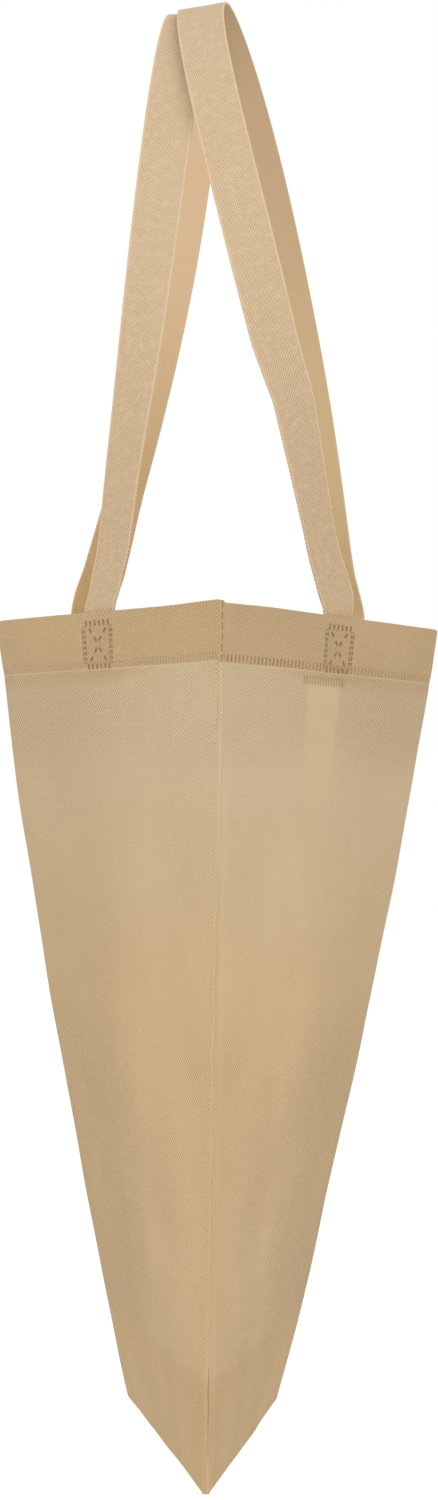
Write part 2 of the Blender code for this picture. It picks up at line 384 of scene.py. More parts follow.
class Finish:
    """The shader tree of one finish, with the wires that its pattern starts from."""

    def __init__(self, name: str, roughness: float, sheen: float) -> None:
        """Start a material with a Principled shader.

        Args:
            name: the material's name.
            roughness: the shader's roughness.
            sheen: the shader's sheen weight.
        """
        self.material = bpy.data.materials.new(name)
        self.material.use_nodes = True
        self.tree = self.material.node_tree
        self.shader = self.tree.nodes["Principled BSDF"]
        fill(self.shader, {"Roughness": roughness, "Specular IOR Level": 0.15,
                           "Sheen Weight": sheen, "Sheen Roughness": 0.45})
        self.uv = add_node(self.tree, "UVMap", uv_map="UVMap").outputs["UV"]
        parts = add_node(self.tree, "SeparateXYZ", {0: self.uv})
        self.across = Wire(parts.outputs["X"])
        self.along = Wire(parts.outputs["Y"])

    def noise(self, scale: float, detail: float = 2.0, stretch: Limits = (1.0, 1.0)) -> Wire:
        """Return a noise on the cloth's own map, centred on 0.

        Args:
            scale: how many features lie on a metre.
            detail: the noise's octaves.
            stretch: how much the map is scaled across and along first.

        Returns:
            The noise, from about -0.5 to 0.5.
        """
        mapping = add_node(self.tree, "Mapping", {"Scale": (*stretch, 1.0), "Vector": self.uv})
        inputs = {"Scale": scale, "Detail": detail, "Vector": mapping.outputs[0]}
        return Wire(add_node(self.tree, "TexNoise", inputs).outputs["Fac"]) - 0.5

    def coat(self, colour: Socket | Colour, *coats: tuple[Wire, Socket | Colour]) -> Socket:
        """Return a colour with others laid over it in turn.

        Args:
            colour: the colour below.
            coats: for each of the others, the mask that it is laid on with, and the colour.

        Returns:
            The socket with the mixed colour.
        """
        for mask, over in coats:
            node = add_node(self.tree, "Mix", {0: mask, 6: colour, 7: over}, data_type="RGBA")
            colour = node.outputs[2]
        return colour

    def paint(self, colour: Socket, tone: Wire, height: Wire, relief: float) -> Material:
        """Connect the colour and the relief to the shader.

        Args:
            colour: the socket with the surface's colour.
            tone: a factor near 1 that the colour is multiplied by.
            height: the relief, from 0 to 1.
            relief: the depth that a height of 1 stands for.

        Returns:
            The finished material.
        """
        shade = add_node(self.tree, "VectorMath", {0: colour, "Scale": tone}, operation="SCALE")
        bump = add_node(self.tree, "Bump", {"Distance": relief, "Strength": 1.0, "Height": height})
        fill(self.shader, {"Base Color": shade.outputs[0], "Normal": bump.outputs["Normal"]})
        return self.material


@dataclass(frozen=True)
class PinRow:
    """A row of weld pins: half its width, their pitch, their share of it, and their soft ends."""

    half: float
    pitch: float
    share: float
    soft: float
    edge: float = 0.0003

    def mask(self, off: Wire, run: Wire) -> Wire:
        """Return 1 on the pins, from the distance off the row and the place along it."""
        return off.band(self.half, self.edge) * run.dashes(self.pitch, self.share, self.soft)


@dataclass(frozen=True)
class WallMarks:
    """What differs between the walls.

    The limits are distances from a seam: where the painted shade of the wall's outer part gives way,
    and where the dimples start. Then come the share of the dimples' painted shade that stays as an even
    tone where they are faint, the hem's pins and how strongly they show.
    """

    outer_shade_limits: Limits = (0.060, 0.150)
    smooth_edge: Limits = (0.0003, 0.0012)
    faint_share: float = 0.75
    pins: PinRow = PinRow(0.0019, 0.0024, 0.40, 0.10)
    pin_depth: Limits = (0.24, 0.22)


MARKS = {
    Face.FRONT: WallMarks(),
    Face.BACK: WallMarks(outer_shade_limits=(0.085, 0.165), smooth_edge=(0.0030, 0.0110), faint_share=0.0,
                         pins=PinRow(0.0019, 0.0033, 0.40, 0.10), pin_depth=(0.50, 0.35)),
}


@dataclass(frozen=True)
class SpunbondCloth:
    """Spunbond cloth with its dimple emboss, the marks of its welds, and painted light and shade.

    Lengths are in metres on the cloth. Each mark's two limits are the ends of its soft edge.
    """

    cloth: Colour = linear(213, 189, 153)
    # painted shading that turns the lower walls deeper and warmer in tone
    lower_painted_shading: Colour = linear(215, 185, 143)
    # outer: painted shade on the walls further from the seams, where they turn away towards their bend
    # lines
    outer: Colour = linear(206, 182, 146)
    lower_outer_shade: Colour = linear(201, 173, 133)
    # hem: painted shade on the hem band, where the doubled cloth lets less light through
    hem: Colour = linear(201, 173, 133)
    # lap: painted shade in a band just under the hem
    lap: Colour = linear(196, 167, 127)
    # low: painted shade near the base, where the gusset behind the wall lets less light through
    low: Colour = linear(207, 176, 133)
    # dimple: painted shade in the embossed pits, laid over their bump
    dimple: Colour = linear(146, 114, 74)
    weld: Colour = linear(143, 112, 79)
    pin: Colour = linear(150, 118, 76)
    # fold: painted highlight along the hem's edge, just under the pins
    fold: Colour = linear(218, 193, 158)
    tape: Colour = linear(210, 182, 142)
    lower_shading_limits: Limits = (0.34, 0.20)
    low_shade_limits: Limits = (0.056, 0.044)
    dimple_depth: float = 0.74
    dimple_share: float = 0.24
    dot_pitch: float = 0.0023
    row_pitch: float = 0.0011
    hem_weld_drop: float = 0.0265
    box_half_width: float = 0.0118
    box_half_height: float = 0.0110
    box_drop: float = 0.0165
    box_rows: PinRow = PinRow(0.0014, 0.0038, 0.38, 0.09)
    box_columns: PinRow = PinRow(0.0015, 0.0028, 0.68, 0.12)
    box_cross: PinRow = PinRow(0.00075, 0.0060, 0.50, 0.06)
    cross_slope: float = 1.08
    cross_length: float = 1.47
    tape_weld_half: float = 0.0198
    tape_weld_drop: float = 0.0335
    relief: float = 0.00022

    def emboss(self, finish: Finish) -> Wire:
        """Return the mask of the calendered cloth's staggered dimples, rubbed faint in patches.

        Args:
            finish: the finish, on a map in metres.

        Returns:
            The mask, at most 1.1.
        """
        waves = finish.across.wave(self.dot_pitch) * finish.along.wave(2 * self.row_pitch)
        wear = finish.noise(330, 1.0).patches(1.6, 0.80)
        rubbed = finish.noise(13).patches(3.2, 0.62)
        return waves.between(-0.30, 0.85) * (wear * 0.5 + 0.3 + rubbed * 0.3)

    def worn(self, finish: Finish, emboss: Wire, face: Face) -> Wire:
        """Return the dimples as they show: fainter in a band across the middle of the wall.

        Args:
            finish: the finish, on a map in metres.
            emboss: the dimples as pressed.
            face: the wall; the front one keeps its tone where its dimples are faint.

        Returns:
            The dimples' mask.
        """
        faint = finish.along.between(0.356, 0.322) * finish.along.between(0.170, 0.225) * 0.48
        kept = faint.opposite() + finish.along.between(0.15, 0.10) * 0.12
        return emboss * kept + faint * (self.dimple_share * MARKS[face].faint_share)

    def weld_box(self, side: Wire, up: Wire) -> Wire:
        """Return the pins of the crossed weld box that holds a webbing end.

        Args:
            side: places sideways from the middle of the box.
            up: places upwards from it.

        Returns:
            A mask that is 1 on the pins.
        """
        column = abs(side) - self.box_half_width
        hollow = column.band(0.0005, 0.0003).opposite() * 0.65 + 0.35
        line = (abs(side) * self.cross_slope + 0.0006 - abs(up)) / self.cross_length
        run = (abs(side) + abs(up) * self.cross_slope) / self.cross_length - 0.0004
        rows = self.box_rows.mask(abs(up) - self.box_half_height, side)
        rows = rows * side.band(self.box_half_width + 0.0006, 0.0003)
        columns = self.box_columns.mask(column, up) * hollow
        columns = columns * up.band(self.box_half_height - 0.0016, 0.0004)
        cross = self.box_cross.mask(line, run) * up.band(self.box_half_height - 0.0024, 0.0005)
        return rows.most(columns).most(cross)

    def make(self, face: Face) -> Material:
        """Make the cloth of one wall.

        Args:
            face: the wall, because only the back one has the tape inside it.

        Returns:
            The material, on a map in metres from the left seam and from the base.
        """
        marks = MARKS[face]
        finish = Finish(f"spunbond_{face.name.lower()}", 0.85, 0.05)
        across = finish.across - FORM.width / 2
        height = abs(finish.along - FORM.height) * -1.0 + FORM.height
        from_seam = abs(across) * -1.0 + FORM.width / 2
        above_hem = height - (FORM.height - FORM.hem)
        fibres = finish.noise(1500, 3.0, (1.0, 0.45))
        cloud = finish.noise(24, 3.0)
        blotch = finish.noise(120)
        # painted shade: a patchy darker band just under the hem's edge, away from the seams
        lap = above_hem.between(-0.0100, -0.0020) * from_seam.between(0.03, 0.10)
        lap = lap * cloud.patches(3.0, 0.65)
        row = height - (FORM.height - self.hem_weld_drop)
        worn = finish.noise(40, 1.0).patches(2.4, 0.80)
        least, more = marks.pin_depth
        pins = marks.pins.mask(row, across) * worn * (across.between(0.02, 0.12) * more + least)
        # painted highlight: a light line along the hem's edge, just under the pins
        fold = (row + marks.pins.half + 0.0007).band(0.0003, 0.0003) * worn
        side = abs(across) - FORM.leg_offset
        up = height - (FORM.height - self.box_drop)
        welds = self.weld_box(side, up) * blotch.patches(1.6, 0.95)
        pressed = from_seam.between(*marks.smooth_edge)
        emboss = self.emboss(finish) * pressed + pressed.opposite() * self.dimple_share
        emboss = self.worn(finish, emboss, face)
        # painted shading: deeper and warmer lower down the walls
        lower = (height + cloud * 0.04).between(*self.lower_shading_limits)
        # painted shade further from the seams, as the walls turn away towards their bend lines
        outer = (from_seam + cloud * 0.02).between(*marks.outer_shade_limits)
        # painted shade near the base, where the gusset lies behind the wall
        low = (height + cloud * 0.01).between(*self.low_shade_limits)
        # painted shade: the hem band is painted darker, as its doubled cloth lets less light through
        hem = above_hem.between(-0.0006, 0.0006)
        colour = finish.coat(self.cloth, (lower, self.lower_painted_shading),
                             (outer, finish.coat(self.outer, (lower, self.lower_outer_shade))),
                             (low, self.low), (lap * 0.85, self.lap), (hem, self.hem))
        if face is Face.BACK:
            top = FORM.height - self.tape_weld_drop
            place = across - FORM.tape_offset
            strip = place.band(FORM.tape_width / 2, 0.0025) * height.between(top + 0.0025, top - 0.0005)
            strip = strip * height.between(top - 0.078, top - 0.035)
            colour = finish.coat(colour, (strip * 0.7, self.tape))
            emboss = emboss * (strip * 0.75).opposite()
            mark = place.band(self.tape_weld_half, 0.0006) * (height - top).band(0.0021, 0.0004)
            welds = welds.most(mark * (across.dashes(0.0026, 0.45, 0.14) * 0.40 + 0.12))
        # painted shade: the pressed-in inside of each weld box is painted a little darker
        inside = side.band(self.box_half_width, 0.003) * up.band(self.box_half_height, 0.003)
        emboss = emboss * (pins.most(fold) * 0.8).opposite()
        # the box insides and the dimples' pits are painted shade, and the hem's edge line a painted
        # highlight; the pins and welds are the weld marks' own colour
        colour = finish.coat(colour, (inside * 0.12, self.weld), (fold * 0.35, self.fold),
                             (emboss * self.dimple_depth, self.dimple), (pins, self.pin),
                             (welds, self.weld))
        tone = fibres * 0.12 + cloud * 0.09 + blotch * 0.05 + 1.0
        height = fibres * 0.25 + 1.0 - emboss * 0.55 - welds.most(pins) * 0.9
        return finish.paint(colour, tone, height, self.relief)

    def make_gusset(self) -> Material:
        """Make the gusset's cloth, which has the emboss and no welds.

        Returns:
            The material, on a map in metres across the gusset and along it.
        """
        finish = Finish("spunbond_gusset", 0.85, 0.05)
        fibres = finish.noise(1500, 3.0, (1.0, 0.45))
        emboss = self.emboss(finish)
        # painted shade: a dark line along the gusset's fold crease
        fold = (finish.along - FORM.gusset_half_depth).band(0.0004, 0.0006)
        # the gusset is painted all over in low, the walls' painted shade near the base, with the
        # dimples' painted shade over it
        colour = finish.coat(self.low, (emboss * self.dimple_depth, self.dimple),
                             (fold * 0.3, self.weld))
        tone = fibres * 0.12 + finish.noise(24, 3.0) * 0.05 + 1.0
        return finish.paint(colour, tone, fibres * 0.25 + 1.0 - emboss * 0.55, self.relief)


@dataclass(frozen=True)
class MeltedCloth:
    """Spunbond cloth that a weld has melted smooth, as along the side seams."""

    # painted shade in the seam's crease and at the step of the front wall's edge
    crease_shade: Colour = linear(140, 112, 80)
    # painted highlight along the seam's ridge
    ridge_highlight: Colour = linear(216, 192, 158)
    front_edge: float = 0.0016
    squeeze: float = 1.67
    crease_dashes: PinRow = PinRow(0.00025, 0.0052, 0.70, 0.12, edge=0.00020)

    def make(self, name: str) -> Material:
        """Make the seam's finish.

        Args:
            name: the material's name.

        Returns:
            The material, on a map in metres across the seam and up from the base.
        """
        cloth = SpunbondCloth()
        finish = Finish(name, 0.80, 0.04)
        up = finish.along
        fibres = finish.noise(900, 2.0, (1.0, 0.3))
        place = finish.across + finish.noise(55) * 0.0009
        front = place.between(0.0006, 0.0001)
        hem = up.between(FORM.height - 0.0305, FORM.height - 0.0285)
        # painted shade: a dashed dark line at the step of the front wall's edge in the hem, and a soft
        # dark line in the seam's valley lower down
        line = self.crease_dashes.mask(place - 0.0005, up) * hem
        low = (up - 0.042).band(0.013, 0.005)
        low_line = (place - 0.0004).band(0.00020, 0.00025)
        low_line = low_line * (low * 0.45 + up.between(0.31, 0.26) * 0.22)
        crease_shade = (line * 0.70).most(low_line)
        # painted highlight along the seam's ridge, in its middle and near the base
        ridge_highlight = (place - 0.0006).band(0.00040, 0.00035) * hem.opposite()
        ridge_highlight = ridge_highlight * (up.between(0.27, 0.33) * 0.6 + up.between(0.020, 0.012) * 0.7)
        finish.across = (finish.across + self.front_edge) * self.squeeze + FORM.width
        emboss = cloth.emboss(finish) * front + front.opposite() * cloth.dimple_share
        emboss = cloth.worn(finish, emboss, Face.FRONT)
        faint = up.between(0.26, 0.17) * 0.6
        emboss = emboss * faint.opposite() + faint * cloth.dimple_share
        # the walls' painted shading lower down, their painted shade near the base and on the hem, and
        # the dimples' painted shade carry on over the seam
        colour = finish.coat(cloth.cloth, (up.between(*cloth.lower_shading_limits), cloth.lower_painted_shading),
                             (up.between(*cloth.low_shade_limits), cloth.low), (hem, cloth.hem),
                             (emboss * cloth.dimple_depth, cloth.dimple), (ridge_highlight, self.ridge_highlight),
                             (crease_shade, self.crease_shade))
        tone = fibres * 0.08 + finish.noise(60) * 0.06 + 0.95
        return finish.paint(colour, tone, fibres * 0.3 + 1.0 - crease_shade, 0.00025)


@dataclass(frozen=True)
class SmoothTape:
    """The thin tape that is welded inside the back wall."""

    cloth: Colour = linear(206, 178, 138)
    rib: Colour = linear(190, 160, 118)
    rib_pitch: float = 0.0009

    def make(self, name: str) -> Material:
        """Make the tape's finish.

        Args:
            name: the material's name.

        Returns:
            The material, on a map in metres across the tape and along it.
        """
        finish = Finish(name, 0.80, 0.05)
        fibres = finish.noise(1200, 3.0, (1.0, 0.4))
        ribs = finish.across.wave(self.rib_pitch) * 0.5 + 0.5
        colour = finish.coat(self.cloth, (ribs * 0.15, self.rib))
        tone = fibres * 0.10 + finish.noise(60) * 0.06 + 1.0
        return finish.paint(colour, tone, fibres * 0.4 + ribs, 0.0001)


@dataclass(frozen=True)
class WovenWebbing:
    """Flat polypropylene webbing: short ribs in staggered rows, and bound edges.

    Each face is painted with light and shade: one tone at the crown, which turns up to the light, and
    another at the feet; the inner faces, on the shade side, take tones of their own.
    """

    # the tones are painted light and shade, set apart at the crown and at the feet, with the inner
    # faces as the shade side
    outer: tuple[Colour, Colour] = linear(231, 206, 171), linear(225, 198, 162)
    front_inner_shade: tuple[Colour, Colour] = linear(225, 196, 158), linear(226, 190, 138)
    back_inner_shade: tuple[Colour, Colour] = linear(206, 178, 140), linear(231, 201, 153)
    # painted shade between the woven ribs
    gap_shade: Colour = linear(157, 123, 84)
    rib_pitch: float = 0.00140
    row_pitch: float = 0.00105
    strip_width: float = 0.025
    outer_depth: float = 0.85
    inner_depth: float = 0.13

    def make(self, name: str, painted_light_tones: tuple[Colour, Colour], length: float, depth: float) -> Material:
        """Make one face of the webbing.

        Args:
            name: the material's name.
            painted_light_tones: the tones of this face at the crown and at the feet, painted light and
                shade.
            length: the strip's length.
            depth: how strongly the painted shade in the gaps between the ribs shows.

        Returns:
            The material, on a map in metres across the strip and along it.
        """
        finish = Finish(name, 0.70, 0.06)
        fibres = finish.noise(2200, 2.0, (1.0, 0.35))
        drift = finish.noise(90, 1.0) * 0.0006
        middle = abs(finish.across - self.strip_width / 2)
        skew = finish.along + middle * 0.20 + drift
        waves = (finish.across + drift).wave(self.rib_pitch) * skew.wave(2 * self.row_pitch)
        wear = finish.noise(260, 1.0).patches(1.8, 0.75)
        gaps = waves.between(-0.60, 0.95) * (wear * 0.35 + 0.55)
        rows = (skew.wave(self.row_pitch) * 0.5 + 0.5) * 0.25
        edge = middle.between(self.strip_width / 2 - 0.0014, self.strip_width / 2 - 0.0008)
        gaps = gaps.most(rows) * (edge * 0.45).opposite()
        foot = abs(finish.along - length / 2).between(0.12, length / 2 - 0.03)
        # painted light and shade: the crown's tone gives way to the feet's, and the gaps between the
        # ribs are painted shade
        colour = finish.coat(painted_light_tones[0], (foot, painted_light_tones[1]), (gaps * (foot * 0.15 + 1.0) * depth, self.gap_shade))
        tone = fibres * 0.16 + finish.noise(30) * 0.06 + 1.0
        return finish.paint(colour, tone, fibres * 0.2 + 1.0 - gaps * 0.8, 0.0003 * depth)


def new_grid(name: str, columns: int, rows: int) -> tuple[Piece, Array, Array]:
    """Add a flat grid to be shaped.

    Args:
        name: the object's name.
        columns: the number of faces across.
        rows: the number of faces along.

    Returns:
        The object, and each vertex's share across and share along.
    """
    bpy.ops.mesh.primitive_grid_add(x_subdivisions=columns, y_subdivisions=rows, size=1.0)
    piece = bpy.context.object
    piece.name = name
    piece.data.name = name
    places = np.empty(len(piece.data.vertices) * 3)
    piece.data.vertices.foreach_get("co", places)
    places = places.reshape(-1, 3) + 0.5
    return piece, places[:, 0], places[:, 1]


def modify(piece: Piece, kind: str, smooth_angle: float, **settings: float | bool | str) -> None:
    """Apply a modifier to a piece and smooth its shading.

    Args:
        piece: the piece.
        kind: the modifier's type.
        smooth_angle: the angle in degrees up to which edges are smoothed.
        settings: the modifier's settings, by name.
    """
    modifier = piece.modifiers.new(kind.lower(), kind)
    for name, value in settings.items():
        setattr(modifier, name, value)
    bpy.context.view_layer.objects.active = piece
    bpy.ops.object.modifier_apply(modifier=modifier.name)
    bpy.ops.object.shade_smooth_by_angle(angle=math.radians(smooth_angle))


def make_sheet(piece: Piece, points: Array, cloth_map: tuple[Array, Array],
               materials: Sequence[Material], thickness: float = FORM.cloth,
               outward: Place = (0.0, 0.0, 0.0)) -> None:
    """Turn a grid into a sheet of cloth.

    Args:
        piece: the grid.
        points: the place of each vertex, in the middle of the cloth.
        cloth_map: how far each vertex lies across the flat cloth, and how far along it.
        materials: the finish of the outer face and, where it differs, of the inner one.
        thickness: the cloth's thickness.
        outward: a direction that the faces are turned towards, on the whole.
    """
    mesh = piece.data
    mesh.vertices.foreach_set("co", points.ravel())
    corners = np.empty(len(mesh.loops), dtype=int)
    mesh.loops.foreach_get("vertex_index", corners)
    mesh.uv_layers["UVMap"].data.foreach_set("uv", np.column_stack(cloth_map)[corners].ravel())
    mesh.update()
    normals = np.empty(len(mesh.polygons) * 3)
    mesh.polygons.foreach_get("normal", normals)
    if normals.reshape(-1, 3).sum(axis=0) @ outward < 0:
        mesh.flip_normals()
    for material in materials:
        mesh.materials.append(material)
    modify(piece, "SOLIDIFY", 50, thickness=thickness, offset=0.0, use_even_offset=True,
           material_offset=len(materials) - 1)


@dataclass
class WallCloth:
    """One wall of the bag with the hem that is turned in over its top edge."""

    face: Face
    columns: int = 156
    wall_rows: int = 132
    hem_rows: int = 16
    roll_rows: int = 4
    curl: float = 0.0008
    groove: float = 0.00012
    puff: float = 0.00022
    dent: float = 0.00016
    groove_width: float = 0.0022
    puff_margins: Limits = (0.008, 0.006)
    box_half_width: float = 0.0135
    box_half_height: float = 0.0150
    box_drop: float = 0.0172

    def profile(self) -> Array:
        """Return the cloth's run from the bottom fold over the rim to the hem's inner edge.

        Returns:
            Rows of depth, height and length along the cloth.
        """
        middle = FORM.cloth / 2
        roll = (FORM.cloth + FORM.clearance) / 2
        edge = FORM.height - FORM.hem
        high = FORM.height - middle - roll
        low_turn = np.linspace(0.0, math.pi / 2, self.roll_rows + 1)
        rim_turn = np.linspace(0.0, math.pi, 2 * self.roll_rows + 1)[1:]
        hem = np.linspace(edge, high, self.hem_rows + 1)
        depth = np.concatenate([middle + self.curl * (1 - np.sin(low_turn)),
                                np.full(self.wall_rows + self.hem_rows, middle),
                                middle + roll * (1 - np.cos(rim_turn)),
                                np.full(self.hem_rows, middle + 2 * roll)])
        height = np.concatenate([middle + self.curl * (1 - np.cos(low_turn)),
                                 np.linspace(middle + self.curl, edge, self.wall_rows + 1)[1:],
                                 hem[1:], high + roll * np.sin(rim_turn), hem[-2::-1]])
        run = np.column_stack([depth, height])
        return np.column_stack([run, lengths_along(run)])

    def relief(self, along: Array, height: Array) -> Array:
        """Return how far welds press the cloth in and the layers between them puff out.

        Args:
            along: places along the cloth from the wall's centre line.
            height: heights above the base.

        Returns:
            An array of lengths, inwards where they are positive.
        """
        edge = height - (FORM.height - FORM.hem)
        groove = np.exp(-(edge / self.groove_width) ** 2)
        puff = smooth(edge / self.puff_margins[0]) * smooth((FORM.hem - edge) / self.puff_margins[1])
        side = (np.abs(along) - FORM.leg_offset) / self.box_half_width
        up = (height - (FORM.height - self.box_drop)) / self.box_half_height
        box = smooth(2.2 - 2 * np.abs(side)) * smooth(2.2 - 2 * np.abs(up))
        return self.groove * groove - self.puff * puff * (1 - box) + self.dent * box

    def build(self) -> Piece:
        """Model the wall.

        Returns:
            The finished piece, which rides on the bag.
        """
        run = self.profile()
        piece, across, up = new_grid(f"{self.face.name.lower()}_wall_cloth", self.columns, len(run) - 1)
        depth, height, length = columns_at(run, up)
        hem = smooth((depth - FORM.cloth) / FORM.clearance) * (height > FORM.height / 2)
        inset = (depth + FORM.cloth) / np.tan(FORM.run(height, np.ones_like(height))[0])
        half = FORM.width / 2 - hem * np.maximum(inset - FORM.cloth, 0.0)
        along = (across * 2 - 1) * half
        points = FORM.place(along, height, depth + self.relief(along, height), self.face)
        make_sheet(piece, points, (along + FORM.width / 2, length), [SpunbondCloth().make(self.face)])
        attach(piece, "bag")
        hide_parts(f"{self.face.name.lower()}_panel", f"{self.face.name.lower()}_hem")
        return piece


@dataclass
class GussetCloth:
    """The bottom of the bag: one fold of cloth that stands up between the walls."""

    columns: int = 140
    leg_rows: int = 18
    fold_rows: int = 6
    fold_radius: float = 0.0012
    end_inset: float = 0.013
    sag: float = 0.0012

    def build(self) -> Piece:
        """Model the gusset.

        Returns:
            The finished piece, which rides on the bag.
        """
        rows = 2 * self.leg_rows + 2 * self.fold_rows
        piece, across, up = new_grid("bottom_gusset_cloth", self.columns, rows)
        half = FORM.width / 2 - self.end_inset
        along = (across * 2 - 1) * half
        front, back = (FORM.place(along, FORM.cloth, FORM.lining_depth(), face) for face in Face)
        reach = np.linalg.norm(back - front, axis=-1) / 2
        length = FORM.gusset_half_depth
        angle = solve_angle(lambda bend: bent_run(self.fold_radius, length, bend)[0], reach)
        top = bent_run(self.fold_radius, length, angle)[1]
        leg = length - self.fold_radius * angle
        place = up * rows - rows / 2
        sign = np.sign(place)
        fold = np.clip(place / self.fold_rows, -1.0, 1.0)
        share = np.clip((np.abs(place) - self.fold_rows) / self.leg_rows, 0.0, 1.0)
        out = self.fold_radius * np.sin(angle * fold)
        out = out + sign * (reach - np.abs(out)) * share
        rise = (top - self.fold_radius * (1 - np.cos(angle * fold))) * (1 - share)
        sag = self.sag * np.sin(math.pi * share) * np.sin(along * 38 + sign * 1.3)
        run = sign * (self.fold_radius * angle * np.abs(fold) + leg * share)
        points = (front + back) / 2
        points[:, 1] += out + sag * sign * np.sin(angle)
        points[:, 2] += rise + sag * np.cos(angle) * smooth(share * 4)
        make_sheet(piece, points, (along + FORM.width / 2, run + length),
                   [SpunbondCloth().make_gusset()], outward=(0.0, 0.0, -1.0))
        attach(piece, "bag")
        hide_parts("bottom_gusset")
        return piece


@dataclass
class SideSeam:
    """The welded edges of both walls at one side, with a smooth rounded nose."""

    side: Side
    rows: int = 150
    nose_points: int = 13
    fin: float = 0.006
    shoulder: float = 0.0012
    lap: float = 0.0011
    proud: float = 0.0003
    droop: float = 0.0009
    thickness: float = 0.0003

    def section(self) -> Array:
        """Return the seam's section, from the fin's front edge to its back edge.

        Returns:
            Rows of a share of the half width and the reach from the corner.
        """
        flank = np.array([(-0.45, -self.fin), (-0.45, -self.fin / 2), (-0.5, -self.shoulder)])
        turn = np.linspace(-math.pi / 2.05, math.pi / 2.05, self.nose_points)
        reach = self.proud * np.cos(turn) ** 1.5 - self.droop * (1 - np.cos(turn))
        return np.concatenate([flank, np.column_stack([np.sin(turn), reach]), flank[::-1] * (-1, 1)])

    def build(self) -> Piece:
        """Model the seam.

        Returns:
            The finished piece, which rides on the bag.
        """
        label = self.side.name.lower()
        side = self.side.value
        section = self.section()
        piece, across, up = new_grid(f"{label}_seam_edge", len(section) - 1, self.rows)
        offset, reach = columns_at(section, across)
        height = up * (FORM.height + 0.0002)
        corner = np.abs(FORM.place(side * FORM.width / 2, height, 0.0, Face.BACK)[:, 0])
        half = FORM.seam_half(height) + self.lap * part_way(0.55, 1.0, smooth(height / 0.03))
        wander = 0.00018 * np.sin(height * 210 + side) + 0.0001 * np.sin(height * 530)
        wander = wander * smooth(height / 0.010)
        rim = smooth((FORM.height - height) / 0.0015)
        points = np.column_stack([side * (corner + reach * part_way(0.75, 1.0, rim)),
                                  offset * half * part_way(0.7, 1.0, rim) + wander * rim, height])
        make_sheet(piece, points - np.array(FORM.origin), (offset * half, height),
                   [MeltedCloth().make(f"{label}_seam_melt")], self.thickness, (side, 0.0, 0.0))
        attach(piece, "bag")
        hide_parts(f"{label}_side_seam")
        return piece


@dataclass
class InnerTape:
    """The short tape that is welded inside the back wall under the hem."""

    width: float = FORM.tape_width
    length: float = 0.076
    drop: float = 0.003

    def build(self) -> Piece:
        """Model the tape.

        Returns:
            The finished piece, which rides on the bag.
        """
        piece, across, up = new_grid("inner_tape", 12, 36)
        along = FORM.tape_offset + (across - 0.5) * self.width
        height = FORM.height - FORM.hem - self.drop - self.length * (1 - up)
        points = FORM.place(along, height, FORM.lining_depth(), Face.BACK)
        make_sheet(piece, points, (across * self.width, up * self.length),
                   [SmoothTape().make("inner_tape_cloth")], outward=(-1.0, -1.0, 0.0))
        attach(piece, "bag")
        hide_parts("inner_tab")
        return piece


